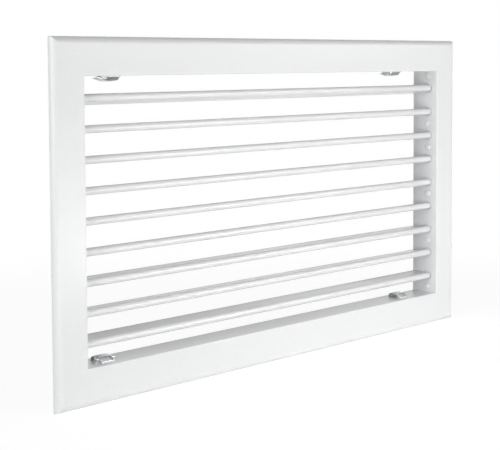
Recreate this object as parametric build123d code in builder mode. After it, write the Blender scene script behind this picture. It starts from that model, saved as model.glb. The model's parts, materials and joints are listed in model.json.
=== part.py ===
from build123d import *
import os

# Wall grille, in millimetres. The wall it seats on is the plane y = 0, the neck runs into the wall
# towards +Y, the blades run along X and +Z is up. The origin is the centre of the wall opening.
# A "depth" is measured from the front face of the flange towards the wall.

# Face and neck
face_width = 440
face_height = 240
flange_width = 25.5
flange_depth = 5
neck_depth = 19.5
edge_radius = 4.6
rim_radius = 0.9

# Walls of the extruded frame section
web_wall = 1.6
neck_wall = 1.5
lip_wall = 1.4
root_radius = 0.8

# Corner keys and the channel that holds them behind the flange
key_width = 9
key_thickness = 1.2
key_leg = 38
key_clearance = 0.15
hook_wall = 0.8
hook_reach = 1.2

# Blades
blade_pitch = 20
blade_chord = 17.5
nose_radius = 2.7
tail_radius = 0.6
pivot_behind_nose = 3.9
pivot_depth = 9.5
blade_end_gap = 0.6
least_end_margin = 14

# How each blade stands, from the top one down: degrees, with the tail raised counted positive
rest_tilts = (-18, -9, -10, -1, -8, -1, 4.5, 1.5, 10)

# Pivot pins, pressed into the blade ends
pin_radius = 1.25
pin_grip = 12
pin_running_gap = 0.08
pin_chamfer = 0.3
pin_end_inset = 0.3

# Bearing strips behind the side walls, with a boss for each pin and snap studs at half pitch
strip_width = 10
strip_thickness = 2
strip_end = 4.6
strip_rail_gap = 0.4
strip_corner = 1
boss_radius = 3.9
boss_recess = 0.9
wall_hole_gap = 0.1
stud_radius = 2.8
stud_recess = 0.6
stud_head_radius = 2.2
stud_head_rise = 0.9
stud_head_round = 0.8
blades_on_upper_strip = 3

# Spring clips through slots in the top and bottom rails. The same clip serves both rails: its wing
# points right on the bottom rail and left on the top rail.
top_clip_from_left = 32
top_clip_from_right = 47
bottom_clip_from_left = 23.2
bottom_clip_from_right = 37.5
clip_width = 10.6
clip_wing = 5.5
clip_wing_fall = 1.6
clip_sheet = 0.5
clip_bend_radius = 0.8
clip_foot_depth = 7.2
clip_foot_length = 0.9
clip_ramp_length = 2.6
clip_ramp_height = 3.1
clip_dip_length = 1.8
clip_dip_height = 2.1
clip_crown_length = 3.2
clip_crown_height = 3.5
clip_slot_depth = 18.6
clip_shoulder_height = 2.5
clip_slot_gap = 0.3
clip_bow_rise = 5
clip_bow_length = 7
clip_tip_rise = 2.8
clip_tip_length = 4

# Sizes that follow
opening_width = face_width - 2 * flange_width
opening_height = face_height - 2 * flange_width
section_depth = flange_depth + neck_depth
channel_middle = (neck_wall + flange_width - lip_wall) / 2
channel_half = key_width / 2 + key_clearance
channel_depth = key_thickness + key_clearance
blade_room = opening_height - 2 * least_end_margin
blade_count = int(blade_room // blade_pitch) + 1
blade_length = opening_width - 2 * blade_end_gap


def blade_height(number):
    """Height of the pivot of blade 1 (top) to blade_count (bottom)."""
    return ((blade_count + 1) / 2 - number) * blade_pitch


def stud_heights(first, last):
    """Studs in every second gap, from half a pitch above the first blade of a strip."""
    top = blade_height(first) + blade_pitch / 2
    return [top - blade_pitch * gap for gap in range(0, last - first + 2, 2)]


def strip_blades(which):
    """First and last blade that the upper or the lower strip carries."""
    if which == "upper":
        return 1, blades_on_upper_strip
    return blades_on_upper_strip + 1, blade_count


def depth_plane(x):
    """Plane across X whose local x is the depth and whose local y is the height."""
    return Plane(origin=(x, -flange_depth, 0), x_dir=(0, 1, 0), z_dir=(1, 0, 0))


def section_corner(sketch, across, depth):
    """The vertex of the frame section at a distance out from the opening and a depth."""
    return sketch.vertices().sort_by_distance((across, depth, 0))[0]


def frame_section():
    """Section of the frame: local x runs out from the opening, local y is the depth."""
    low_left = (Align.MIN, Align.MIN)
    hook_depth = web_wall + channel_depth
    with BuildSketch() as section:
        Rectangle(flange_width, web_wall, align=low_left)
        Rectangle(neck_wall, section_depth, align=low_left)
        with Locations((flange_width - lip_wall, 0)):
            Rectangle(lip_wall, flange_depth, align=low_left)
        fillet(section_corner(section, 0, 0), rim_radius)
        fillet(section_corner(section, flange_width, 0), edge_radius)
        fillet(section_corner(section, neck_wall, web_wall), root_radius)
        fillet(section_corner(section, flange_width - lip_wall, web_wall), edge_radius - lip_wall)
        for side in (-1, 1):
            with Locations((channel_middle + side * (channel_half + hook_wall / 2), web_wall)):
                Rectangle(hook_wall, channel_depth + hook_wall, align=(Align.CENTER, Align.MIN))
            lip_middle = channel_half + (hook_wall - hook_reach) / 2
            with Locations((channel_middle + side * lip_middle, hook_depth)):
                Rectangle(hook_wall + hook_reach, hook_wall, align=(Align.CENTER, Align.MIN))
    return section.sketch


def frame_side(outward, half_opening, half_face):
    """One mitred length of the frame, on the side of the opening that outward points to."""
    along = outward.cross(Vector(0, 1, 0))
    start = outward * half_opening - Vector(0, flange_depth, 0)
    with BuildPart() as side:
        with BuildSketch(Plane(origin=start, x_dir=outward, z_dir=along)):
            add(frame_section())
        extrude(amount=half_face, both=True)
        for end in (along, -along):
            corner = outward * (half_opening + flange_width) + end * half_face
            split(bisect_by=Plane(origin=corner, z_dir=end - outward), keep=Keep.BOTTOM)
    return side.part


def clip_places(updown):
    """Middles of the left and right clips of a rail along X."""
    if updown > 0:
        return -opening_width / 2 + top_clip_from_left, opening_width / 2 - top_clip_from_right
    return -opening_width / 2 + bottom_clip_from_left, opening_width / 2 - bottom_clip_from_right


def rail(updown):
    """Top or bottom rail, with the slots that its spring clips pass through."""
    outward = Vector(0, 0, updown)
    slot_plane = Plane(origin=outward * (opening_height / 2), x_dir=(1, 0, 0), z_dir=outward)
    slot_y = (clip_slot_depth - flange_depth) * updown
    with BuildPart() as body:
        add(frame_side(outward, opening_height / 2, face_width / 2))
        with BuildSketch(slot_plane):
            with Locations([(x, slot_y) for x in clip_places(updown)]):
                Rectangle(clip_width + 2 * clip_slot_gap, clip_sheet + 2 * clip_slot_gap)
        extrude(amount=neck_wall, mode=Mode.SUBTRACT)
    return body.part


def stile(side):
    """Left or right stile, with round holes for the bearing bosses and the snap studs."""
    blades = range(1, blade_count + 1)
    studs = stud_heights(*strip_blades("upper")) + stud_heights(*strip_blades("lower"))
    with BuildPart() as body:
        add(frame_side(Vector(side, 0, 0), opening_width / 2, face_height / 2))
        with BuildSketch(depth_plane(side * opening_width / 2)):
            with Locations([(pivot_depth, blade_height(n)) for n in blades]):
                Circle(boss_radius + wall_hole_gap)
            with Locations([(pivot_depth, z) for z in studs]):
                Circle(stud_radius + wall_hole_gap)
        extrude(amount=side * neck_wall, mode=Mode.SUBTRACT)
    return body.part


def corner_key(side, updown):
    """Flat L-shaped key that lies in the channels of two meeting lengths."""
    corner_x = side * (opening_width / 2 + channel_middle)
    corner_z = updown * (opening_height / 2 + channel_middle)
    corner = (corner_x, web_wall - flange_depth, corner_z)
    inward = Vector(-side, 0, 0)
    leg = key_leg - key_width / 2
    # local x runs in along the rail and local y, with the plane facing the wall, up or down the stile
    down_stile = side * updown
    with BuildPart() as key:
        with BuildSketch(Plane(origin=corner, x_dir=inward, z_dir=(0, 1, 0))):
            Rectangle(key_width, key_width)
            with Locations((leg / 2, 0)):
                Rectangle(leg, key_width)
            with Locations((0, -down_stile * leg / 2)):
                Rectangle(key_width, leg)
        extrude(amount=key_thickness)
    return key.part


def blade(number):
    """Aerofoil blade: round nose, straight flanks, thin tail and a bore for its two pins."""
    tilt = rest_tilts[(number - 1) % len(rest_tilts)]
    chord = Vector(0, 1, 0).rotate(Axis.X, tilt)
    pivot = (-blade_length / 2, pivot_depth - flange_depth, blade_height(number))
    with BuildPart() as body:
        with BuildSketch(Plane(origin=pivot, x_dir=chord, z_dir=(1, 0, 0))):
            with Locations((nose_radius - pivot_behind_nose, 0)):
                Circle(nose_radius)
            with Locations((blade_chord - tail_radius - pivot_behind_nose, 0)):
                Circle(tail_radius)
            make_hull()
            Circle(pin_radius, mode=Mode.SUBTRACT)
        extrude(amount=blade_length)
    return body.part


def pivot_pin(side, number):
    """Turned pin: gripped in the blade end, running in its bearing boss."""
    inner = side * (blade_length / 2 - pin_grip)
    outer = side * (opening_width / 2 + neck_wall + strip_thickness - pin_end_inset)
    with BuildPart() as pin:
        with BuildSketch(depth_plane(inner)):
            with Locations((pivot_depth, blade_height(number))):
                Circle(pin_radius)
        extrude(amount=outer - inner)
        ends = pin.edges().filter_by(GeomType.CIRCLE)
        chamfer(ends, pin_chamfer)
    return pin.part


def bearing_strip(side, which):
    """Moulded strip on the outer face of a side wall, with bored bosses and domed snap studs."""
    first, last = strip_blades(which)
    bosses = [(pivot_depth, blade_height(n)) for n in range(first, last + 1)]
    studs = [(pivot_depth, z) for z in stud_heights(first, last)]
    top = studs[0][1] + strip_end
    bottom = min(studs[-1][1], bosses[-1][1]) - strip_end
    if which == "upper":
        top = opening_height / 2 - strip_rail_gap
    else:
        bottom = strip_rail_gap - opening_height / 2
    seat = depth_plane(side * (opening_width / 2 + neck_wall))
    raised = (
        (bosses, boss_radius, boss_recess - neck_wall),
        (studs, stud_radius, stud_recess - neck_wall),
        (studs, stud_head_radius, -neck_wall - stud_head_rise),
    )
    with BuildPart() as strip:
        with BuildSketch(seat):
            with Locations((pivot_depth, (top + bottom) / 2)):
                RectangleRounded(strip_width, top - bottom, strip_corner)
        extrude(amount=side * strip_thickness)
        for places, radius, reach in raised:
            with BuildSketch(seat):
                with Locations(places):
                    Circle(radius)
            extrude(amount=side * reach)
        rims = strip.edges().filter_by(GeomType.CIRCLE).group_by(Axis.X)[0 if side > 0 else -1]
        fillet(rims, stud_head_round)
        for reach in (strip_thickness, -neck_wall):
            with BuildSketch(seat):
                with Locations(bosses):
                    Circle(pin_radius + pin_running_gap)
            extrude(amount=side * reach, mode=Mode.SUBTRACT)
    return strip.part


def clip_line():
    """Bends of the clip: local x is the depth, local y the height over the neck's inner face."""
    skin = clip_sheet / 2
    ramp_start = clip_foot_depth + clip_foot_length
    ramp_top = ramp_start + clip_ramp_length
    dip = ramp_top + clip_dip_length
    crown = dip + clip_crown_length
    below = -neck_wall - skin - clip_slot_gap
    bow = clip_slot_depth - clip_bow_length
    return [
        (clip_foot_depth, skin),
        (ramp_start, skin),
        (ramp_top, clip_ramp_height),
        (dip, clip_dip_height),
        (crown, clip_crown_height),
        (clip_slot_depth, clip_shoulder_height),
        (clip_slot_depth, below),
        (bow, -neck_wall - clip_bow_rise + skin),
        (bow - clip_tip_length, -neck_wall - clip_tip_rise),
    ]


def spring_clip(x, updown):
    """Bent spring strip: humped inside the neck, through its slot, bowed out on the far side."""
    start = Vector(x, -flange_depth, updown * opening_height / 2)
    across = Plane(origin=start, x_dir=(0, 1, 0), z_dir=(-updown, 0, 0))
    wing_front = clip_foot_depth + clip_foot_length + clip_ramp_length + clip_dip_length
    wing_back = clip_slot_depth - clip_sheet / 2 - clip_bend_radius
    wing_run = across.z_dir * clip_wing - across.y_dir * clip_wing_fall
    with BuildPart() as clip:
        with BuildSketch(across) as profile:
            with BuildLine():
                FilletPolyline(*clip_line(), radius=clip_bend_radius)
                offset(amount=clip_sheet / 2, side=Side.BOTH, closed=True)
            make_face()
        extrude(amount=clip_width / 2, both=True)
        # the wing is the humped stretch alone, carried on to one side and falling towards the neck
        with BuildSketch(across.offset(clip_width / 2)):
            add(profile.sketch_local)
            with Locations(((wing_front + wing_back) / 2, 0)):
                Rectangle(
                    wing_back - wing_front,
                    section_depth,
                    align=(Align.CENTER, Align.MIN),
                    mode=Mode.INTERSECT,
                )
        extrude(amount=wing_run.length, dir=wing_run.normalized())
    return clip.part


def save(piece, name):
    """Label a finished piece and write it under its own name."""
    piece.label = name
    export_step(piece, f"parts/{name}.step")


os.makedirs("parts", exist_ok=True)

save(rail(1), "top_rail")
save(rail(-1), "bottom_rail")
save(stile(-1), "left_stile")
save(stile(1), "right_stile")

for side, side_name in ((-1, "left"), (1, "right")):
    for updown, height_name in ((1, "top"), (-1, "bottom")):
        save(corner_key(side, updown), f"corner_key_{height_name}_{side_name}")
        clip_x = clip_places(updown)[0 if side < 0 else 1]
        save(spring_clip(clip_x, updown), f"spring_clip_{height_name}_{side_name}")
    for which in ("upper", "lower"):
        save(bearing_strip(side, which), f"bearing_strip_{side_name}_{which}")

for number in range(1, blade_count + 1):
    save(blade(number), f"blade_{number}")
    save(pivot_pin(-1, number), f"pivot_pin_left_{number}")
    save(pivot_pin(1, number), f"pivot_pin_right_{number}")
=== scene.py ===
"""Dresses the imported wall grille: its finishes, the blades and clips, floor, light and camera."""
import json
import logging
import math
from collections.abc import Callable
from dataclasses import dataclass
from enum import Enum

import bmesh
import bpy
from mathutils import Matrix, Vector


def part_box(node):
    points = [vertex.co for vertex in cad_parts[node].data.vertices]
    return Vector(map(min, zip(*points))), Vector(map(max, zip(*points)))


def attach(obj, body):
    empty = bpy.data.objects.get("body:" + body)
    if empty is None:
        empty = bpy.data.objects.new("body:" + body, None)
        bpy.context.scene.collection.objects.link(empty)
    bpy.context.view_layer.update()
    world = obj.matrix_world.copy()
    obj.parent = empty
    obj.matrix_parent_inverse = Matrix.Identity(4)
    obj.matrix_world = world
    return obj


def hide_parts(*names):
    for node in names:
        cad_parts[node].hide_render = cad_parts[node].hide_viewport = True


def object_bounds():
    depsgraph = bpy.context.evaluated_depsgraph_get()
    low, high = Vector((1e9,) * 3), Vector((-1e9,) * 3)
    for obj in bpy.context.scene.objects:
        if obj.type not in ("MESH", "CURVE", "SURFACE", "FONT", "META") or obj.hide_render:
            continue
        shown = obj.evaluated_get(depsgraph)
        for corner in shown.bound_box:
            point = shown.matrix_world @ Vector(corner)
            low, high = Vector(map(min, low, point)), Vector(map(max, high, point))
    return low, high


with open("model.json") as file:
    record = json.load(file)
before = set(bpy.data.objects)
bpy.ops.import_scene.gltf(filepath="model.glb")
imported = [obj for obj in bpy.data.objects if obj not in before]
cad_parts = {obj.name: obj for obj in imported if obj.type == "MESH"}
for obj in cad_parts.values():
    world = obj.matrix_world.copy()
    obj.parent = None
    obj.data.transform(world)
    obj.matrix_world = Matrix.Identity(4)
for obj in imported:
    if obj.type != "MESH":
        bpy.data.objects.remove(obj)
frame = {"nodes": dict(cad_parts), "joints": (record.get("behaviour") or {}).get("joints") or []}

CAD_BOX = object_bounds()
MM = 0.001
HAIR = 0.01 * MM  # how near a point counts as being at a place
LOG = logging.getLogger("grille")

Socket = bpy.types.NodeSocket
Node = bpy.types.Node
Material = bpy.types.Material
Object = bpy.types.Object
Colour = tuple[float, float, float, float]
Point = tuple[float, float, float]
Pair = tuple[float, float]
Inputs = dict[str | int, object]


class Slot(Enum):
    """The record's material slots of the pieces that are modelled here."""

    BLADE = "blade_coat"
    CLIP = "clip_steel"


class Run(Enum):
    """The way that fine lines run, as the pattern's stretch along X, Y and Z."""

    ALONG_X = (0.02, 1.0, 1.0)
    ALONG_Z = (1.0, 1.0, 0.02)
    AROUND_X = (1.0, 0.05, 0.05)
    SHORT_Z = (1.0, 1.0, 0.05)


class Part(Enum):
    """What an edit operator is to act on."""

    POINTS = "VERT"
    EDGES = "EDGE"
    FACES = "FACE"


# ---------------------------------------------------------------- node helpers


class Sheet:
    """Adds and joins the nodes of one node tree."""

    def __init__(self, tree: bpy.types.NodeTree) -> None:
        """Keeps the tree that the nodes go into."""
        self.tree = tree

    def fill(self, node: Node, sockets: Inputs) -> None:
        """Sets a node's inputs.

        Args:
            node: the node to fill.
            sockets: input name or number, and its value or the output that feeds it.
        """
        for name, value in sockets.items():
            if isinstance(value, Socket):
                self.tree.links.new(value, node.inputs[name])
            else:
                node.inputs[name].default_value = value

    def add(self, kind: str, sockets: Inputs | None = None, **settings: object) -> Node:
        """Adds a node.

        Args:
            kind: the node's type, without its ShaderNode prefix.
            sockets: as in fill.
            settings: properties of the node itself.

        Returns:
            The new node.
        """
        node = self.tree.nodes.new("ShaderNode" + kind)
        for name, value in settings.items():
            setattr(node, name, value)
        self.fill(node, sockets or {})
        return node

    def sum(self, operation: str, a: object, b: object, clamp: bool = False) -> Socket:
        """Adds a Math node for two values or sockets and returns its result."""
        return self.add("Math", {0: a, 1: b}, operation=operation, use_clamp=clamp).outputs[0]

    def mix(self, share: object, a: object, b: object) -> Socket:
        """Adds a colour Mix node.

        Args:
            share: how much of the second colour there is.
            a: first colour or socket.
            b: second colour or socket.

        Returns:
            The mixed colour.
        """
        node = self.add("Mix", data_type="RGBA")
        self.fill(node, {0: share, 6: a, 7: b})
        return node.outputs[2]

    def remap(self, value: Socket, source: Pair, target: Pair = (0.0, 1.0),
              soft: bool = False) -> Socket:
        """Adds a Map Range node.

        Args:
            value: what is mapped.
            source: the range that it has.
            target: the range that it gets.
            soft: whether it eases in and out.

        Returns:
            The mapped value.
        """
        node = self.add("MapRange", {"Value": value, "From Min": source[0], "From Max": source[1],
                                     "To Min": target[0], "To Max": target[1]})
        node.interpolation_type = "SMOOTHSTEP" if soft else "LINEAR"
        return node.outputs[0]

    def end(self, kind: str, surface: Socket) -> None:
        """Adds the output node of a material or a world and feeds it with its shader."""
        self.tree.links.new(surface, self.add(kind).inputs[0])


def blank_sheet(owner: Material | bpy.types.World) -> Sheet:
    """Clears the nodes of a new material or world.

    Args:
        owner: the material or world.

    Returns:
        The sheet of its node tree.
    """
    owner.use_nodes = True
    owner.node_tree.nodes.clear()
    return Sheet(owner.node_tree)


# ---------------------------------------------------------------- shared effects


class Effect:
    """A shared effect: a node group with named sockets, built once, placed in each material."""

    NAME = ""
    INPUTS: tuple[tuple[str, str, object], ...] = ()
    OUTPUTS: tuple[tuple[str, str], ...] = ()

    def __init__(self) -> None:
        """Makes the group's sockets and has the effect fill in what lies between them."""
        self.tree = bpy.data.node_groups.new(self.NAME, "ShaderNodeTree")
        for name, kind, value in self.INPUTS:
            made = self.tree.interface.new_socket(name=name, in_out="INPUT",
                                                  socket_type="NodeSocket" + kind)
            if value is not None:
                made.default_value = value
        for name, kind in self.OUTPUTS:
            self.tree.interface.new_socket(name=name, in_out="OUTPUT",
                                           socket_type="NodeSocket" + kind)
        entry = self.tree.nodes.new("NodeGroupInput")
        leave = self.tree.nodes.new("NodeGroupOutput")
        results = self.wire(Sheet(self.tree), {s.name: s for s in entry.outputs})
        for name, socket in results.items():
            self.tree.links.new(socket, leave.inputs[name])

    def wire(self, sheet: Sheet, given: dict[str, Socket]) -> dict[str, Socket]:
        """Adds the nodes between the group's inputs and its outputs.

        Args:
            sheet: the group's sheet.
            given: its inputs by name.

        Returns:
            What feeds its outputs, by name.
        """
        raise NotImplementedError

    def place(self, sheet: Sheet, sockets: Inputs) -> Node:
        """Puts the group into a material.

        Args:
            sheet: the material's sheet.
            sockets: as in Sheet.fill.

        Returns:
            The group's node.
        """
        node = sheet.add("Group", node_tree=self.tree)
        sheet.fill(node, sockets)
        return node


class OrangePeel(Effect):
    """The low waves that a sprayed and baked coat dries with."""

    NAME = "orange peel"
    INPUTS = (
        ("Vector", "Vector", None),
        ("Cells per metre", "Float", 500.0),
        ("Fine share", "Float", 0.3),
    )
    OUTPUTS = (("Height", "Float"),)
    FINER = 3.1

    def wire(self, sheet: Sheet, given: dict[str, Socket]) -> dict[str, Socket]:
        """Lays a share of finer waves on broad ones.

        Args:
            sheet: the group's sheet.
            given: its inputs by name.

        Returns:
            The height of the waves.
        """
        vector, cells = given["Vector"], given["Cells per metre"]
        broad = sheet.add("TexNoise", {"Vector": vector, "Scale": cells, "Detail": 1.0,
                                       "Roughness": 0.4})
        fine = sheet.add("TexNoise", {"Vector": vector, "Detail": 2.0,
                                      "Scale": sheet.sum("MULTIPLY", cells, self.FINER)})
        share = sheet.sum("MULTIPLY", fine.outputs["Fac"], given["Fine share"])
        return {"Height": sheet.sum("ADD", broad.outputs["Fac"], share)}


class DrawnLines(Effect):
    """Fine lines along a length, from the die or the rolls that it went through."""

    NAME = "drawn lines"
    INPUTS = (
        ("Vector", "Vector", None),
        ("Stretch", "Vector", (1.0, 1.0, 1.0)),
        ("Lines per metre", "Float", 900.0),
    )
    OUTPUTS = (("Height", "Float"), ("Mask", "Float"))
    DEEP = (0.62, 0.78)

    def wire(self, sheet: Sheet, given: dict[str, Socket]) -> dict[str, Socket]:
        """Pulls noise out along the length and finds its deepest lines.

        Args:
            sheet: the group's sheet.
            given: its inputs by name.

        Returns:
            The height of the lines and a mask of the deepest.
        """
        pulled = sheet.add("VectorMath", {0: given["Vector"], 1: given["Stretch"]},
                           operation="MULTIPLY")
        lines = sheet.add("TexNoise", {"Vector": pulled.outputs[0],
                                       "Scale": given["Lines per metre"], "Detail": 3.0,
                                       "Roughness": 0.65})
        height = lines.outputs["Fac"]
        return {"Height": height, "Mask": sheet.remap(height, self.DEEP, soft=True)}


class ToneDrift(Effect):
    """A slow change of tone over a surface, with a few tiny specks of another colour."""

    NAME = "tone drift"
    INPUTS = (
        ("Vector", "Vector", None),
        ("Colour", "Color", (0.8, 0.8, 0.8, 1.0)),
        ("Second colour", "Color", (0.7, 0.7, 0.7, 1.0)),
        ("Speck colour", "Color", (0.3, 0.3, 0.3, 1.0)),
        ("Patches per metre", "Float", 12.0),
        ("Drift", "Float", 0.5),
        ("Specks", "Float", 0.3),
    )
    OUTPUTS = (("Colour", "Color"), ("Patch", "Float"))
    SPREAD = (0.2, 0.8)
    SPECK_CELLS = 260.0
    SPECK_SIZE = 0.07
    SPECK_RARITY = 0.9

    def wire(self, sheet: Sheet, given: dict[str, Socket]) -> dict[str, Socket]:
        """Drifts between two colours in soft patches, then puts the specks on top.

        Args:
            sheet: the group's sheet.
            given: its inputs by name.

        Returns:
            The colour, and the patches alone as a value.
        """
        patches = sheet.add("TexNoise", {"Vector": given["Vector"],
                                         "Scale": given["Patches per metre"], "Detail": 3.0})
        patch = sheet.remap(patches.outputs["Fac"], self.SPREAD, soft=True)
        share = sheet.sum("MULTIPLY", patch, given["Drift"])
        toned = sheet.mix(share, given["Colour"], given["Second colour"])
        dots = sheet.add("TexVoronoi", {"Vector": given["Vector"], "Scale": self.SPECK_CELLS})
        close = sheet.remap(dots.outputs["Distance"], (0.0, self.SPECK_SIZE), (1.0, 0.0))
        chance = sheet.add("SeparateColor", {0: dots.outputs["Color"]}).outputs[0]
        rare = sheet.sum("GREATER_THAN", chance, self.SPECK_RARITY)
        mask = sheet.sum("MULTIPLY", sheet.sum("MULTIPLY", close, rare), given["Specks"])
        return {"Colour": sheet.mix(mask, toned, given["Speck colour"]), "Patch": patch}


class EasedEdge(Effect):
    """Finds the edges of a piece, where a coat is thin or metal is rubbed bright."""

    NAME = "eased edge"
    INPUTS = (("Reach", "Float", 0.4 * MM), ("Strength", "Float", 1.0))
    OUTPUTS = (("Mask", "Float"),)
    TURN = (0.98, 0.75)

    def wire(self, sheet: Sheet, given: dict[str, Socket]) -> dict[str, Socket]:
        """Compares the true normal with one that is rounded over the edge.

        Args:
            sheet: the group's sheet.
            given: its inputs by name.

        Returns:
            A mask that is 1 on the edges.
        """
        rounded = sheet.add("Bevel", {"Radius": given["Reach"]}, samples=4)
        true = sheet.add("NewGeometry")
        same = sheet.add("VectorMath", {0: rounded.outputs[0], 1: true.outputs["Normal"]},
                         operation="DOT_PRODUCT")
        off = sheet.remap(same.outputs["Value"], self.TURN)
        return {"Mask": sheet.sum("MULTIPLY", off, given["Strength"], clamp=True)}


class Effects:
    """The four shared effects, each built once."""

    def __init__(self) -> None:
        """Builds the node groups."""
        self.peel = OrangePeel()
        self.lines = DrawnLines()
        self.drift = ToneDrift()
        self.edge = EasedEdge()


# ---------------------------------------------------------------- finishes

# Each roughness is the upper end of its range. A range stays on one side of 0.274, where the
# denoiser takes a gleam for colour, or the step shows as hard-edged patches on a pale surface.


@dataclass(frozen=True, kw_only=True)
class Finish:
    """A surface whose tone and roughness drift slowly, with a few specks."""

    name: str
    colour: Colour
    second: Colour
    speck: Colour
    patches: float
    drift: float
    specks: float
    roughness: float
    roughness_drop: float

    def build(self, effects: Effects) -> Material:
        """Builds the material.

        Args:
            effects: the shared effects that it is made from.

        Returns:
            The material.
        """
        material = bpy.data.materials.new(self.name)
        sheet = blank_sheet(material)
        shader = sheet.add("BsdfPrincipled")
        sheet.end("OutputMaterial", shader.outputs[0])
        place = sheet.add("TexCoord").outputs["Object"]
        tone = effects.drift.place(sheet, {
            "Vector": place, "Colour": self.colour, "Second colour": self.second,
            "Speck colour": self.speck, "Patches per metre": self.patches, "Drift": self.drift,
            "Specks": self.specks})
        rough = sheet.remap(tone.outputs["Patch"], (0.0, 1.0),
                            (self.roughness - self.roughness_drop, self.roughness))
        surface = self.surface(sheet, effects, place, tone.outputs["Colour"])
        sheet.fill(shader, {"Roughness": rough, **surface})
        return material

    def surface(self, sheet: Sheet, effects: Effects, place: Socket, tone: Socket) -> Inputs:
        """Adds what makes this finish different from the others.

        Args:
            sheet: the material's sheet.
            effects: the shared effects.
            place: the Object coordinates.
            tone: the drifting colour.

        Returns:
            What goes into the shader, beside its roughness.
        """
        raise NotImplementedError


@dataclass(frozen=True, kw_only=True)
class PowderCoat(Finish):
    """White baked powder coat on an extruded length."""

    run: Run
    colour: Colour = (0.868, 0.872, 0.874, 1.0)
    second: Colour = (0.862, 0.867, 0.872, 1.0)
    speck: Colour = (0.55, 0.55, 0.53, 1.0)
    patches: float = 9.0
    drift: float = 0.4
    specks: float = 0.15
    roughness: float = 0.27
    roughness_drop: float = 0.025
    specular: float = 0.4
    # painted shade: a greyer, bluish tone laid into the low parts of the orange peel
    painted_hollow_shade: Colour = (0.84, 0.845, 0.855, 1.0)
    hollow_shade_heights: Pair = (0.35, 0.85)
    peel_cells: float = 620.0
    peel_fine: float = 0.25
    peel_depth: float = 0.012 * MM
    edge_tone: Colour = (0.80, 0.805, 0.815, 1.0)
    edge_reach: float = 0.3 * MM
    edge_strength: float = 0.5
    lines: float = 700.0
    line_depth: float = 0.003 * MM

    def surface(self, sheet: Sheet, effects: Effects, place: Socket, tone: Socket) -> Inputs:
        """Adds orange peel with painted shade in its hollows, thin edges and the die's lines under
        the coat.

        Args:
            sheet: the material's sheet.
            effects: the shared effects.
            place: the Object coordinates.
            tone: the drifting colour.

        Returns:
            What goes into the shader, beside its roughness.
        """
        peel = effects.peel.place(sheet, {"Vector": place, "Cells per metre": self.peel_cells,
                                          "Fine share": self.peel_fine}).outputs["Height"]
        # painted shade in the peel's hollows, strongest where the peel is lowest
        hollow_shade_mask = sheet.remap(peel, self.hollow_shade_heights, (1.0, 0.0))
        edge = effects.edge.place(sheet, {"Reach": self.edge_reach,
                                          "Strength": self.edge_strength})
        colour = sheet.mix(edge.outputs["Mask"], sheet.mix(hollow_shade_mask, tone, self.painted_hollow_shade),
                           self.edge_tone)
        lines = effects.lines.place(sheet, {"Vector": place, "Stretch": self.run.value,
                                            "Lines per metre": self.lines})
        waves = sheet.add("Bump", {"Strength": 1.0, "Distance": self.peel_depth, "Height": peel})
        bump = sheet.add("Bump", {"Strength": 1.0, "Distance": self.line_depth,
                                  "Height": lines.outputs["Height"], "Normal": waves.outputs[0]})
        return {"Base Color": colour, "Normal": bump.outputs[0], "IOR": 1.5,
                "Specular IOR Level": self.specular, "Metallic": 0.0}


@dataclass(frozen=True, kw_only=True)
class BareMetal(Finish):
    """Rolled, drawn or turned metal without a coat."""

    run: Run
    bright: Colour
    speck: Colour = (0.12, 0.11, 0.1, 1.0)
    patches: float = 160.0
    drift: float = 0.8
    specks: float = 0.4
    roughness_drop: float = 0.08
    lines: float = 1500.0
    line_depth: float = 0.01 * MM
    worn: float = 0.35
    edge_reach: float = 0.25 * MM
    edge_strength: float = 0.8

    def surface(self, sheet: Sheet, effects: Effects, place: Socket, tone: Socket) -> Inputs:
        """Adds fine lines, the deepest of them and the edges rubbed bright.

        Args:
            sheet: the material's sheet.
            effects: the shared effects.
            place: the Object coordinates.
            tone: the drifting colour.

        Returns:
            What goes into the shader, beside its roughness.
        """
        lines = effects.lines.place(sheet, {"Vector": place, "Stretch": self.run.value,
                                            "Lines per metre": self.lines})
        worn = sheet.mix(sheet.sum("MULTIPLY", lines.outputs["Mask"], self.worn), tone,
                         self.bright)
        edge = effects.edge.place(sheet, {"Reach": self.edge_reach,
                                          "Strength": self.edge_strength})
        bump = sheet.add("Bump", {"Strength": 1.0, "Distance": self.line_depth,
                                  "Height": lines.outputs["Height"]})
        return {"Base Color": sheet.mix(edge.outputs["Mask"], worn, self.bright),
                "Normal": bump.outputs[0], "Metallic": 1.0}


@dataclass(frozen=True, kw_only=True)
class MouldedNylon(Finish):
    """White moulded nylon with the fine grain of its mould."""

    colour: Colour = (0.93, 0.935, 0.94, 1.0)
    second: Colour = (0.88, 0.89, 0.905, 1.0)
    speck: Colour = (0.6, 0.6, 0.58, 1.0)
    patches: float = 60.0
    drift: float = 0.6
    specks: float = 0.15
    roughness: float = 0.26
    roughness_drop: float = 0.05
    grain_cells: float = 2600.0
    grain_fine: float = 0.5
    grain_depth: float = 0.006 * MM

    def surface(self, sheet: Sheet, effects: Effects, place: Socket, tone: Socket) -> Inputs:
        """Adds the grain.

        Args:
            sheet: the material's sheet.
            effects: the shared effects.
            place: the Object coordinates.
            tone: the drifting colour.

        Returns:
            What goes into the shader, beside its roughness.
        """
        grain = effects.peel.place(sheet, {"Vector": place, "Cells per metre": self.grain_cells,
                                           "Fine share": self.grain_fine})
        bump = sheet.add("Bump", {"Strength": 1.0, "Distance": self.grain_depth,
                                  "Height": grain.outputs["Height"]})
        return {"Base Color": tone, "Normal": bump.outputs[0], "IOR": 1.53}


# ---------------------------------------------------------------- modelling helpers


def deselect() -> None:
    """Leaves nothing selected, so that an operator acts on its own piece alone."""
    bpy.ops.object.select_all(action="DESELECT")


def pick(piece: Object) -> None:
    """Selects one piece alone and makes it active.

    Args:
        piece: the piece that the next operator acts on.
    """
    deselect()
    piece.select_set(True)
    bpy.context.view_layer.objects.active = piece


def open_up(piece: Object) -> None:
    """Picks a piece and opens its mesh for editing."""
    pick(piece)
    bpy.ops.object.mode_set(mode="EDIT")


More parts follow.
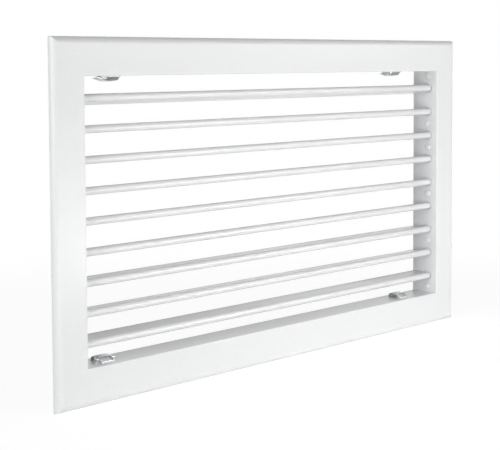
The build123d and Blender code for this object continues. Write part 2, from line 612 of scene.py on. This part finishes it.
def close_up() -> None:
    """Leaves edit mode."""
    bpy.ops.object.mode_set(mode="OBJECT")


def choose_all() -> None:
    """Selects the whole mesh that is being edited."""
    bpy.ops.mesh.select_all(action="SELECT")


def choose(piece: Object, kind: Part, test: Callable[[Vector], bool]) -> None:
    """Selects parts of the mesh that is being edited.

    Args:
        piece: the piece in edit mode.
        kind: points, edges or faces.
        test: says of a point whether it belongs; an edge or face needs it of all its points.
    """
    bpy.ops.mesh.select_mode(type=kind.value)
    bpy.ops.mesh.select_all(action="DESELECT")
    mesh = bmesh.from_edit_mesh(piece.data)
    parts = {Part.POINTS: mesh.verts, Part.EDGES: mesh.edges, Part.FACES: mesh.faces}[kind]
    for part in parts:
        corners = [part] if kind is Part.POINTS else part.verts
        if all(test(corner.co) for corner in corners):
            part.select_set(True)
    mesh.select_flush_mode()
    bmesh.update_edit_mesh(piece.data)


def shift(x: float, y: float, z: float) -> None:
    """Moves what is selected."""
    bpy.ops.transform.translate(value=(x, y, z))


def resize(share: Point, about: Point) -> None:
    """Resizes what is selected by a factor along each axis, about a point."""
    bpy.ops.transform.resize(value=share, center_override=about)


def pull_out(x: float, y: float, z: float) -> None:
    """Extrudes what is selected."""
    bpy.ops.mesh.extrude_region_move(TRANSFORM_OT_translate={"value": (x, y, z)})


def face_outward() -> None:
    """Turns all normals of the mesh that is being edited outward."""
    choose_all()
    bpy.ops.mesh.normals_make_consistent(inside=False)


def add_modifier(piece: Object, kind: str, **settings: object) -> None:
    """Adds a modifier and applies it.

    Args:
        piece: the piece that gets it.
        kind: the modifier's type.
        settings: its properties.
    """
    pick(piece)
    bpy.ops.object.modifier_add(type=kind)
    modifier = piece.modifiers[-1]
    for name, value in settings.items():
        setattr(modifier, name, value)
    bpy.ops.object.modifier_apply(modifier=modifier.name)


def smooth(piece: Object, degrees: float) -> None:
    """Shades a piece smooth, apart from edges of this angle or more."""
    pick(piece)
    bpy.ops.object.shade_smooth_by_angle(angle=math.radians(degrees))


def fix_place(piece: Object) -> None:
    """Puts the piece's place, turn and size into its mesh."""
    pick(piece)
    bpy.ops.object.transform_apply(location=True, rotation=True, scale=True)


def copy_of(master: Object, name: str, place: Vector, turn: Point) -> Object:
    """Copies a finished piece, mesh and all, to its place.

    Args:
        master: the piece to copy.
        name: the copy's name.
        place: where its origin goes.
        turn: its angles about X, Y and Z.

    Returns:
        The copy, with its place in its mesh.
    """
    pick(master)
    bpy.ops.object.duplicate(linked=False)
    piece = bpy.context.active_object
    piece.name = name
    piece.data.name = name
    piece.location = place
    piece.rotation_euler = turn
    fix_place(piece)
    return piece


def discard(piece: Object) -> None:
    """Removes a piece that was only needed to make others."""
    pick(piece)
    bpy.ops.object.delete()


def finish_piece(piece: Object, body: str, node: str, material: Material) -> None:
    """Dresses a new piece and joins it to the frame.

    Args:
        piece: the finished mesh object, at the origin.
        body: the CAD body it moves with.
        node: the CAD node that it stands for.
        material: its finish.
    """
    piece.data.materials.clear()
    piece.data.materials.append(material)
    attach(piece, body)
    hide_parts(node)
    LOG.info("%s rides on %s and stands for %s", piece.name, body, node)


def dress_node(node: str, material: Material) -> None:
    """Gives a CAD node its finish.

    Args:
        node: the node's name.
        material: what goes into its own material slots.
    """
    for place in frame["nodes"][node].material_slots:
        place.material = material
    LOG.info("%s keeps its CAD shape", node)


# ---------------------------------------------------------------- the grille's sub-assemblies


@dataclass(frozen=True)
class Surround:
    """The four mitred lengths of the frame, each pair coated with its own line direction."""

    rails: tuple[str, ...] = ("top_rail", "bottom_rail")
    stiles: tuple[str, ...] = ("left_stile", "right_stile")
    rail_coat: PowderCoat = PowderCoat(name="rail coat", run=Run.ALONG_X)
    stile_coat: PowderCoat = PowderCoat(name="stile coat", run=Run.ALONG_Z)

    def build(self, effects: Effects) -> None:
        """Dresses the rails and the stiles.

        Args:
            effects: the shared effects that their finishes are made from.
        """
        for names, coat in ((self.rails, self.rail_coat), (self.stiles, self.stile_coat)):
            material = coat.build(effects)
            for name in names:
                dress_node(name, material)


@dataclass(frozen=True)
class BladeBank:
    """The nine tilting blades and the pins that they turn on."""

    count: int = 9
    chord: float = 17.5 * MM
    nose: float = 2.7 * MM
    tail: float = 0.6 * MM
    pivot_behind_nose: float = 3.9 * MM
    bore: float = 1.26 * MM
    bore_sides: int = 32
    bore_overrun: float = 1.0 * MM
    end_ease: float = 0.3 * MM
    end_steps: int = 3
    sides: int = 48
    sharp_degrees: float = 32.0
    coat: PowderCoat = PowderCoat(name="blade coat", run=Run.ALONG_X, roughness=0.2, specular=0.6,
                                  peel_depth=0.006 * MM)
    pin_metal: BareMetal = BareMetal(
        name="turned pin", run=Run.AROUND_X, colour=(0.72, 0.73, 0.74, 1.0),
        second=(0.6, 0.61, 0.62, 1.0), bright=(0.85, 0.86, 0.87, 1.0), roughness=0.38)

    def model(self, length: float) -> Object:
        """Models one blade, level, with its pivot at the origin.

        Args:
            length: from end to end.

        Returns:
            The blade: a round nose drawn out to a thin tail, with eased ends and a bore.
        """
        deselect()
        nose_centre = self.nose - self.pivot_behind_nose
        reach = self.chord - self.nose - self.tail
        start = -length / 2
        bpy.ops.mesh.primitive_circle_add(
            vertices=self.sides, radius=self.nose, fill_type="NGON",
            location=(start, nose_centre, 0.0), rotation=(0.0, math.pi / 2, 0.0))
        blade = bpy.context.active_object
        fix_place(blade)
        open_up(blade)
        touch = nose_centre + self.nose * (self.nose - self.tail) / reach
        choose(blade, Part.POINTS, lambda co: co.y > touch)
        share = self.tail / self.nose
        resize((share, share, share), (start, nose_centre, 0.0))
        shift(0.0, reach, 0.0)
        bpy.ops.mesh.select_mode(type=Part.FACES.value)
        choose_all()
        pull_out(length, 0.0, 0.0)
        face_outward()
        choose(blade, Part.EDGES, lambda co: abs(co.x) > length / 2 - HAIR)
        bpy.ops.mesh.bevel(offset=self.end_ease, segments=self.end_steps, affect="EDGES")
        close_up()
        self.drill(blade, length)
        smooth(blade, self.sharp_degrees)
        return blade

    def drill(self, blade: Object, length: float) -> None:
        """Bores a blade from end to end for its pins.

        Args:
            blade: the blade, with its pivot at the origin.
            length: from end to end.
        """
        deselect()
        bpy.ops.mesh.primitive_cylinder_add(
            vertices=self.bore_sides, radius=self.bore, depth=length + 2 * self.bore_overrun,
            rotation=(0.0, math.pi / 2, 0.0))
        drill = bpy.context.active_object
        fix_place(drill)
        add_modifier(blade, "BOOLEAN", operation="DIFFERENCE", solver="EXACT", object=drill)
        discard(drill)

    def build(self, effects: Effects) -> None:
        """Places the blades at the tilts of the frame, and dresses them and their pins.

        Args:
            effects: the shared effects that their finishes are made from.
        """
        coat = self.coat.build(effects)
        turned = self.pin_metal.build(effects)
        low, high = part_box("blade_1")
        master = self.model(high[0] - low[0])
        joints = {joint["child"]: joint for joint in frame["joints"]}
        for number in range(1, self.count + 1):
            name = f"blade_{number}"
            joint = joints[name]
            # the limits lie evenly about level, so their middle says how far off level it rests
            tilt = -math.radians(sum(joint["range_deg"]) / 2)
            piece = copy_of(master, f"{name}_extrusion", Vector(joint["pos_m"]), (tilt, 0.0, 0.0))
            finish_piece(piece, name, name, coat)
            for side in ("left", "right"):
                dress_node(f"pivot_pin_{side}_{number}", turned)
        discard(master)


@dataclass(frozen=True)
class SpringClips:
    """The four bent clips that hold the neck in the wall: one shape, turned over for the top."""

    width: float = 10.6 * MM
    sheet: float = 0.5 * MM
    bend: float = 0.8 * MM
    bend_steps: int = 3
    columns: int = 4
    inner_share: float = 1 / 3
    # the folds as depth behind the flange's front and height over the neck's inner face, in mm
    line: tuple[Pair, ...] = (
        (7.2, 0.25), (8.1, 0.25), (10.7, 3.1), (12.5, 2.1), (15.7, 3.5), (18.6, 2.5),
        (18.6, -2.05), (11.6, -6.25), (7.6, -4.3))
    wing: float = 5.5 * MM
    wing_fall: float = 1.6 * MM
    wing_depths: Pair = (12.5 * MM, 17.55 * MM)
    corner: float = 0.9 * MM
    corner_steps: int = 4
    camber: float = 0.3 * MM
    camber_from: float = 1.5 * MM
    camber_inner: float = 0.7
    edge_break: float = 0.07 * MM
    edge_steps: int = 2
    broken_degrees: float = 50.0
    sharp_degrees: float = 35.0
    steel: BareMetal = BareMetal(
        name="clip steel", run=Run.AROUND_X, colour=(0.66, 0.68, 0.68, 1.0),
        second=(0.5, 0.53, 0.53, 1.0), bright=(0.86, 0.88, 0.89, 1.0), roughness=0.27)

    def model(self, flange_front: float, neck_face: float) -> Object:
        """Models one clip of the bottom rail, centred on X.

        Args:
            flange_front: Y of the flange's front face, from which the depths count.
            neck_face: Z of the neck's inner face, from which the heights count.

        Returns:
            The clip: a strip folded along its line, with its wing, camber and thickness.
        """
        deselect()
        bends = [(flange_front + depth * MM, neck_face + height * MM)
                 for depth, height in self.line]
        near, far = bends[0][0], bends[1][0]
        bpy.ops.mesh.primitive_grid_add(x_subdivisions=self.columns, y_subdivisions=1, size=1.0)
        clip = bpy.context.active_object
        open_up(clip)
        choose_all()
        resize((self.width, far - near, 1.0), (0.0, 0.0, 0.0))
        shift(0.0, (near + far) / 2, bends[0][1])
        choose(clip, Part.EDGES, lambda co: co.y > far - HAIR)
        for (y0, z0), (y1, z1) in zip(bends[1:], bends[2:]):
            pull_out(0.0, y1 - y0, z1 - z0)
        for before, here, after in zip(bends, bends[1:], bends[2:]):
            self.round_bend(clip, before, here, after)
        start, end = (flange_front + depth for depth in self.wing_depths)
        self.cut_wing(clip, start, end, neck_face)
        self.raise_camber(clip, neck_face)
        self.draw_wing(clip, start, end, neck_face)
        face_outward()
        close_up()
        add_modifier(clip, "SOLIDIFY", thickness=self.sheet, offset=0.0, use_even_offset=True)
        add_modifier(clip, "BEVEL", width=self.edge_break, segments=self.edge_steps,
                     limit_method="ANGLE", angle_limit=math.radians(self.broken_degrees))
        smooth(clip, self.sharp_degrees)
        return clip

    def round_bend(self, clip: Object, before: Pair, here: Pair, after: Pair) -> None:
        """Rounds one bend to the radius of the fold.

        Args:
            clip: the folded strip.
            before: Y and Z of the bend before.
            here: Y and Z of this bend.
            after: Y and Z of the bend after.
        """
        into = Vector((here[0] - before[0], here[1] - before[1]))
        out = Vector((after[0] - here[0], after[1] - here[1]))
        choose(clip, Part.EDGES, lambda co: abs(co.y - here[0]) + abs(co.z - here[1]) < HAIR)
        bpy.ops.mesh.bevel(offset=self.bend * math.tan(into.angle(out) / 2),
                           segments=self.bend_steps, affect="EDGES")

    def cut_wing(self, clip: Object, start: float, end: float, neck_face: float) -> None:
        """Cuts across the hump where the wing starts and where it ends.

        Args:
            clip: the folded strip.
            start: Y of the wing's front.
            end: Y of the wing's back.
            neck_face: Z of the neck's inner face.
        """
        for cut in (start, end):
            choose(clip, Part.FACES, lambda co: co.z > neck_face)
            bpy.ops.mesh.bisect(plane_co=(0.0, cut, 0.0), plane_no=(0.0, 1.0, 0.0))

    def raise_camber(self, clip: Object, neck_face: float) -> None:
        """Crowns the hump across its width: the inner columns rise, then the middle one again.

        Args:
            clip: the folded strip.
            neck_face: Z of the neck's inner face.
        """
        foot = neck_face + self.camber_from
        inner = self.width * self.inner_share
        choose(clip, Part.POINTS, lambda co: co.z > foot and abs(co.x) < inner)
        shift(0.0, 0.0, self.camber * self.camber_inner)
        choose(clip, Part.POINTS, lambda co: co.z > foot and abs(co.x) < HAIR)
        shift(0.0, 0.0, self.camber * (1.0 - self.camber_inner))

    def draw_wing(self, clip: Object, start: float, end: float, neck_face: float) -> None:
        """Carries the back of the hump on to one side, falling, with rounded corners.

        Args:
            clip: the folded strip.
            start: Y of the wing's front.
            end: Y of the wing's back.
            neck_face: Z of the neck's inner face.
        """
        side = self.width / 2
        choose(clip, Part.EDGES,
               lambda co: (co.x > side - HAIR and start - HAIR < co.y < end + HAIR
                           and co.z > neck_face))
        pull_out(self.wing, 0.0, -self.wing_fall)
        tip = side + self.wing
        choose(clip, Part.POINTS,
               lambda co: co.x > tip - HAIR and min(abs(co.y - start), abs(co.y - end)) < HAIR)
        bpy.ops.mesh.bevel(offset=self.corner, segments=self.corner_steps, affect="VERTICES")

    def build(self, effects: Effects) -> None:
        """Places the four clips and dresses them.

        Args:
            effects: the shared effects that their finishes are made from.
        """
        steel = self.steel.build(effects)
        flange_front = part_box("bottom_rail")[0][1]
        neck_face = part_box("bottom_rail")[1][2]
        master = self.model(flange_front, neck_face)
        half = self.width / 2
        for height, turn in (("bottom", 0.0), ("top", math.pi)):
            for side in ("left", "right"):
                node = f"spring_clip_{height}_{side}"
                low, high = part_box(node)
                middle = low[0] + half if height == "bottom" else high[0] - half
                piece = copy_of(master, f"{node}_sprung", Vector((middle, 0.0, 0.0)),
                                (0.0, turn, 0.0))
                finish_piece(piece, "frame", node, steel)
        discard(master)


@dataclass(frozen=True)
class Fittings:
    """Bearing strips and corner keys."""

    nylon: MouldedNylon = MouldedNylon(name="bearing nylon")
    plate: BareMetal = BareMetal(
        name="key plate", run=Run.SHORT_Z, colour=(0.68, 0.69, 0.7, 1.0),
        second=(0.58, 0.59, 0.6, 1.0), bright=(0.85, 0.86, 0.87, 1.0), roughness=0.5)

    def build(self, effects: Effects) -> None:
        """Dresses the small fittings.

        Args:
            effects: the shared effects that their finishes are made from.
        """
        nylon = self.nylon.build(effects)
        plate = self.plate.build(effects)
        for side in ("left", "right"):
            for height in ("upper", "lower"):
                dress_node(f"bearing_strip_{side}_{height}", nylon)
            for height in ("top", "bottom"):
                dress_node(f"corner_key_{height}_{side}", plate)


# ---------------------------------------------------------------- studio


@dataclass(frozen=True, kw_only=True)
class Lamp:
    """One soft panel of light."""

    name: str
    place: Point
    size: Pair
    power: float
    aim: Point = (0.0, 0.0, 0.0)
    tint: Point = (1.0, 0.995, 0.985)
    mirrored: bool = True

    def build(self) -> None:
        """Adds the panel and turns it to its aim; one that isn't mirrored leaves no gleam."""
        data = bpy.data.lights.new(self.name, "AREA")
        data.shape = "RECTANGLE"
        data.size, data.size_y = self.size
        data.energy = self.power
        data.color = self.tint
        lamp = bpy.data.objects.new(self.name, data)
        bpy.context.scene.collection.objects.link(lamp)
        lamp.visible_camera = False
        lamp.visible_glossy = self.mirrored
        lamp.location = self.place
        ray = Vector(self.aim) - Vector(self.place)
        lamp.rotation_euler = ray.to_track_quat("-Z", "Y").to_euler()


@dataclass(frozen=True)
class Studio:
    """Floor, world, lamps and the camera at the photograph's viewing angle."""

    white: Colour = (1.0, 1.0, 1.0, 1.0)
    floor_half: float = 6.0
    floor_cells: int = 4
    floor_tone: Colour = (0.9, 0.9, 0.9, 1.0)
    floor_tone_seen: Colour = (0.24, 0.24, 0.24, 1.0)
    floor_glow_seen: float = 0.88
    shadow_reach: Pair = (0.25, 0.7)
    sky: float = 0.1
    sky_tone: Colour = (0.88, 0.92, 1.0, 1.0)
    lens: float = 98.6746
    sensor: float = 36.0
    shift_down: float = -0.127902
    clip_range: Pair = (0.01, 100.0)
    camera_place: Point = (-0.765817, -0.674384, 0.103356)
    heading: float = -47.3308
    pitch: float = -4.1548
    roll: float = -0.2975
    lamps: tuple[Lamp, ...] = (
        Lamp(name="left panel", place=(-1.5, -0.35, 0.25), size=(0.8, 0.7), power=10.8),
        Lamp(name="right panel", place=(1.1, -1.15, 0.27), size=(1.0, 0.16), power=5.0),
        Lamp(name="top panel", place=(-0.2, -0.3, 1.0), aim=(0.0, 0.0, 0.05), size=(0.6, 0.3),
             power=1.0),
        Lamp(name="front strip", place=(0.15, -0.5, -0.03), aim=(0.05, 0.0, -0.06),
             size=(0.6, 0.13), power=0.6),
        Lamp(name="near left strip", place=(-0.28, -0.35, -0.08), aim=(-0.12, 0.0, -0.1),
             size=(0.4, 0.06), power=0.26),
        Lamp(name="near right strip", place=(0.12, -0.35, -0.08), aim=(0.1, 0.0, -0.1),
             size=(0.4, 0.06), power=0.36),
        Lamp(name="rear panel", place=(1.0, 1.1, 0.0), size=(0.8, 0.2), power=12.0,
             mirrored=False),
    )

    def build(self) -> None:
        """Builds the whole studio."""
        bpy.context.scene.view_settings.view_transform = "Standard"
        self.build_floor()
        self.build_world()
        for lamp in self.lamps:
            lamp.build()
        self.build_camera()

    def seen(self, sheet: Sheet) -> Socket:
        """Tells the rays that look at a surface from those that it lights.

        Args:
            sheet: the sheet of the floor or the world.

        Returns:
            One for rays of the camera, of a reflection and through glass, and else nought.
        """
        path = sheet.add("LightPath").outputs
        reflected = sheet.sum("MAXIMUM", path["Is Glossy Ray"], path["Is Transmission Ray"])
        return sheet.sum("MAXIMUM", path["Is Camera Ray"], reflected)

    def build_floor(self) -> None:
        """A pale floor under the lower edge of the frame, on which its shadow still shows."""
        deselect()
        bpy.ops.mesh.primitive_grid_add(
            x_subdivisions=self.floor_cells, y_subdivisions=self.floor_cells,
            size=2 * self.floor_half, location=(0.0, 0.0, CAD_BOX[0].z))
        floor = bpy.context.active_object
        floor.name = "studio_floor"
        material = bpy.data.materials.new("floor white")
        sheet = blank_sheet(material)
        seen = self.seen(sheet)
        away = sheet.add("VectorMath", {0: sheet.add("TexCoord").outputs["Object"]},
                         operation="LENGTH")
        far = sheet.remap(away.outputs["Value"], self.shadow_reach, soft=True)
        matt = sheet.add("BsdfDiffuse", {
            "Color": sheet.mix(seen, self.floor_tone, self.floor_tone_seen)})
        glow = sheet.add("Emission", {
            "Color": self.white, "Strength": sheet.sum("MULTIPLY", seen, self.floor_glow_seen)})
        near = sheet.add("AddShader", {0: matt.outputs[0], 1: glow.outputs[0]})
        plain = sheet.add("Emission", {"Color": self.white, "Strength": 1.0})
        both = sheet.add("MixShader", {0: sheet.sum("MULTIPLY", seen, far), 1: near.outputs[0],
                                       2: plain.outputs[0]})
        sheet.end("OutputMaterial", both.outputs[0])
        floor.data.materials.append(material)

    def build_world(self) -> None:
        """White where it is seen, and a softer dome that lights the object."""
        world = bpy.data.worlds.new("studio dome")
        sheet = blank_sheet(world)
        dome = sheet.add("Background", {"Color": self.sky_tone, "Strength": self.sky})
        white = sheet.add("Background", {"Color": self.white, "Strength": 1.0})
        both = sheet.add("MixShader", {0: self.seen(sheet), 1: dome.outputs[0],
                                       2: white.outputs[0]})
        sheet.end("OutputWorld", both.outputs[0])
        bpy.context.scene.world = world

    def build_camera(self) -> None:
        """The camera that the photograph was taken from, for a picture of 500 by 450."""
        data = bpy.data.cameras.new("photo camera")
        data.sensor_fit = "HORIZONTAL"
        data.sensor_width = self.sensor
        data.lens = self.lens
        data.shift_y = self.shift_down
        data.clip_start, data.clip_end = self.clip_range
        camera = bpy.data.objects.new("photo camera", data)
        bpy.context.scene.collection.objects.link(camera)
        turn = Matrix.Rotation(math.radians(self.heading), 4, "Z")
        turn = turn @ Matrix.Rotation(math.radians(90.0 + self.pitch), 4, "X")
        turn = turn @ Matrix.Rotation(math.radians(self.roll), 4, "Z")
        camera.matrix_world = Matrix.Translation(self.camera_place) @ turn
        bpy.context.scene.camera = camera


def main() -> None:
    """Builds the studio and dresses the grille."""
    logging.basicConfig(level=logging.INFO, format="%(name)s: %(message)s")
    deselect()
    Studio().build()
    effects = Effects()
    for assembly in (Surround(), BladeBank(), Fittings(), SpringClips()):
        assembly.build(effects)


if __name__ == "__main__":
    main()
